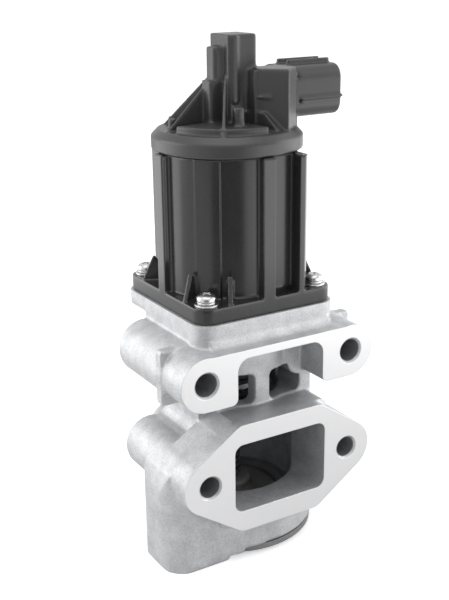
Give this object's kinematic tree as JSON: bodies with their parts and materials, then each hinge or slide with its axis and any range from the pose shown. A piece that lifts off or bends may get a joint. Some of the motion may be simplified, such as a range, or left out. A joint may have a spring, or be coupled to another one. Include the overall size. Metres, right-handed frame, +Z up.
{
  "type": "exhaust gas recirculation valve",
  "caption": "Motor-driven poppet valve that meters exhaust gas: a flanged aluminium casting with a sprung valve, under a black brushless-motor case with a sensor tower and a wiring socket.",
  "frame": {"origin": "on the valve axis, in the plane of the underside of the base lugs", "axes": "+Z up the valve stem towards the motor; -Y out of the two machined port faces; +X out of the wiring socket"},
  "size_m": [0.0909, 0.0709, 0.1975],
  "materials": {
    "cast_aluminium": "as cast, shot-blasted, with milled faces",
    "seat_steel": "turned stainless steel",
    "heat_steel": "turned heat-resisting steel, dulled",
    "stem_steel": "ground steel",
    "race_steel": "polished bearing steel",
    "bronze": "sintered bronze",
    "seal_rubber": "moulded rubber",
    "zinc_steel": "bright zinc plate",
    "spring_steel": "drawn spring wire",
    "case_plastic": "black glass-filled moulding, satin",
    "cover_plastic": "black glass-filled moulding, satin",
    "magnet": "coated magnet",
    "lamination": "stacked electrical steel",
    "coil_plastic": "natural moulding",
    "coil_wire": "enamelled copper wire",
    "board": "lacquered circuit board",
    "chip": "moulded chip package",
    "tin_plate": "tin-plated copper alloy",
    "rod_plastic": "natural moulding"
  },
  "bodies": {
    "housing": {"valve_housing": "cast_aluminium", "valve_seat": "seat_steel", "stem_scraper": "seat_steel", "stem_bush": "bronze", "stem_seal": "seal_rubber", "spring_seat": "zinc_steel", "return_spring": "spring_steel", "case_seal": "seal_rubber", "motor_case": "case_plastic", "screw_sleeves": "zinc_steel", "flat_washers": "zinc_steel", "spring_washers": "zinc_steel", "case_screws": "zinc_steel", "shaft_guide": "bronze", "stator_core": "lamination", "slot_insulators": "coil_plastic", "stator_coils": "coil_wire", "lower_outer_race": "race_steel", "upper_outer_race": "race_steel", "wave_washer": "spring_steel", "circuit_board": "board", "hall_switches": "chip", "terminal_pins": "tin_plate", "connector_cover": "cover_plastic", "cover_seal": "seal_rubber", "sensor_spring": "spring_steel", "position_sensor": "chip"},
    "rotor": {"rotor_sleeve": "stem_steel", "rotor_magnet": "magnet", "rotor_nut": "bronze", "sense_magnet": "magnet", "lower_inner_race": "race_steel", "upper_inner_race": "race_steel"},
    "lower_cage": {"lower_ball_cage": "bronze", "lower_balls": "race_steel"},
    "upper_cage": {"upper_ball_cage": "bronze", "upper_balls": "race_steel"},
    "drive": {"lead_screw": "stem_steel"},
    "valve": {"valve_stem": "stem_steel", "poppet": "heat_steel", "spring_retainer": "zinc_steel", "retainer_clip": "spring_steel"},
    "sensor": {"sensor_rod": "rod_plastic", "sensor_magnet": "magnet"}
  },
  "joints": [
    {"name": "rotor_spin", "type": "hinge", "parent": "housing", "child": "rotor", "pos_m": [0, 0, 0.13], "axis": [0, 0, 1], "range_deg": [0, 720]},
    {"name": "lower_cage_roll", "type": "hinge", "parent": "housing", "child": "lower_cage", "pos_m": [0, 0, 0.1067], "axis": [0, 0, 1], "range_deg": [0, 309]},
    {"name": "upper_cage_roll", "type": "hinge", "parent": "housing", "child": "upper_cage", "pos_m": [0, 0, 0.1565], "axis": [0, 0, 1], "range_deg": [0, 309]},
    {"name": "screw_slide", "type": "slide", "parent": "housing", "child": "drive", "axis": [0, 0, -1], "range_m": [0, 0.008]},
    {"name": "valve_slide", "type": "slide", "parent": "housing", "child": "valve", "axis": [0, 0, -1], "range_m": [0, 0.008], "deforming": ["return_spring"]},
    {"name": "sensor_slide", "type": "slide", "parent": "housing", "child": "sensor", "axis": [0, 0, -1], "range_m": [0, 0.008], "deforming": ["sensor_spring"]}
  ],
  "couplings": [
    {"joint": "screw_slide", "follows": "rotor_spin", "m_per_rad": 0.00063661},
    {"joint": "valve_slide", "follows": "rotor_spin", "m_per_rad": 0.00063661},
    {"joint": "sensor_slide", "follows": "rotor_spin", "m_per_rad": 0.00063661},
    {"joint": "lower_cage_roll", "follows": "rotor_spin", "ratio": 0.4282},
    {"joint": "upper_cage_roll", "follows": "rotor_spin", "ratio": 0.4282}
  ]
}
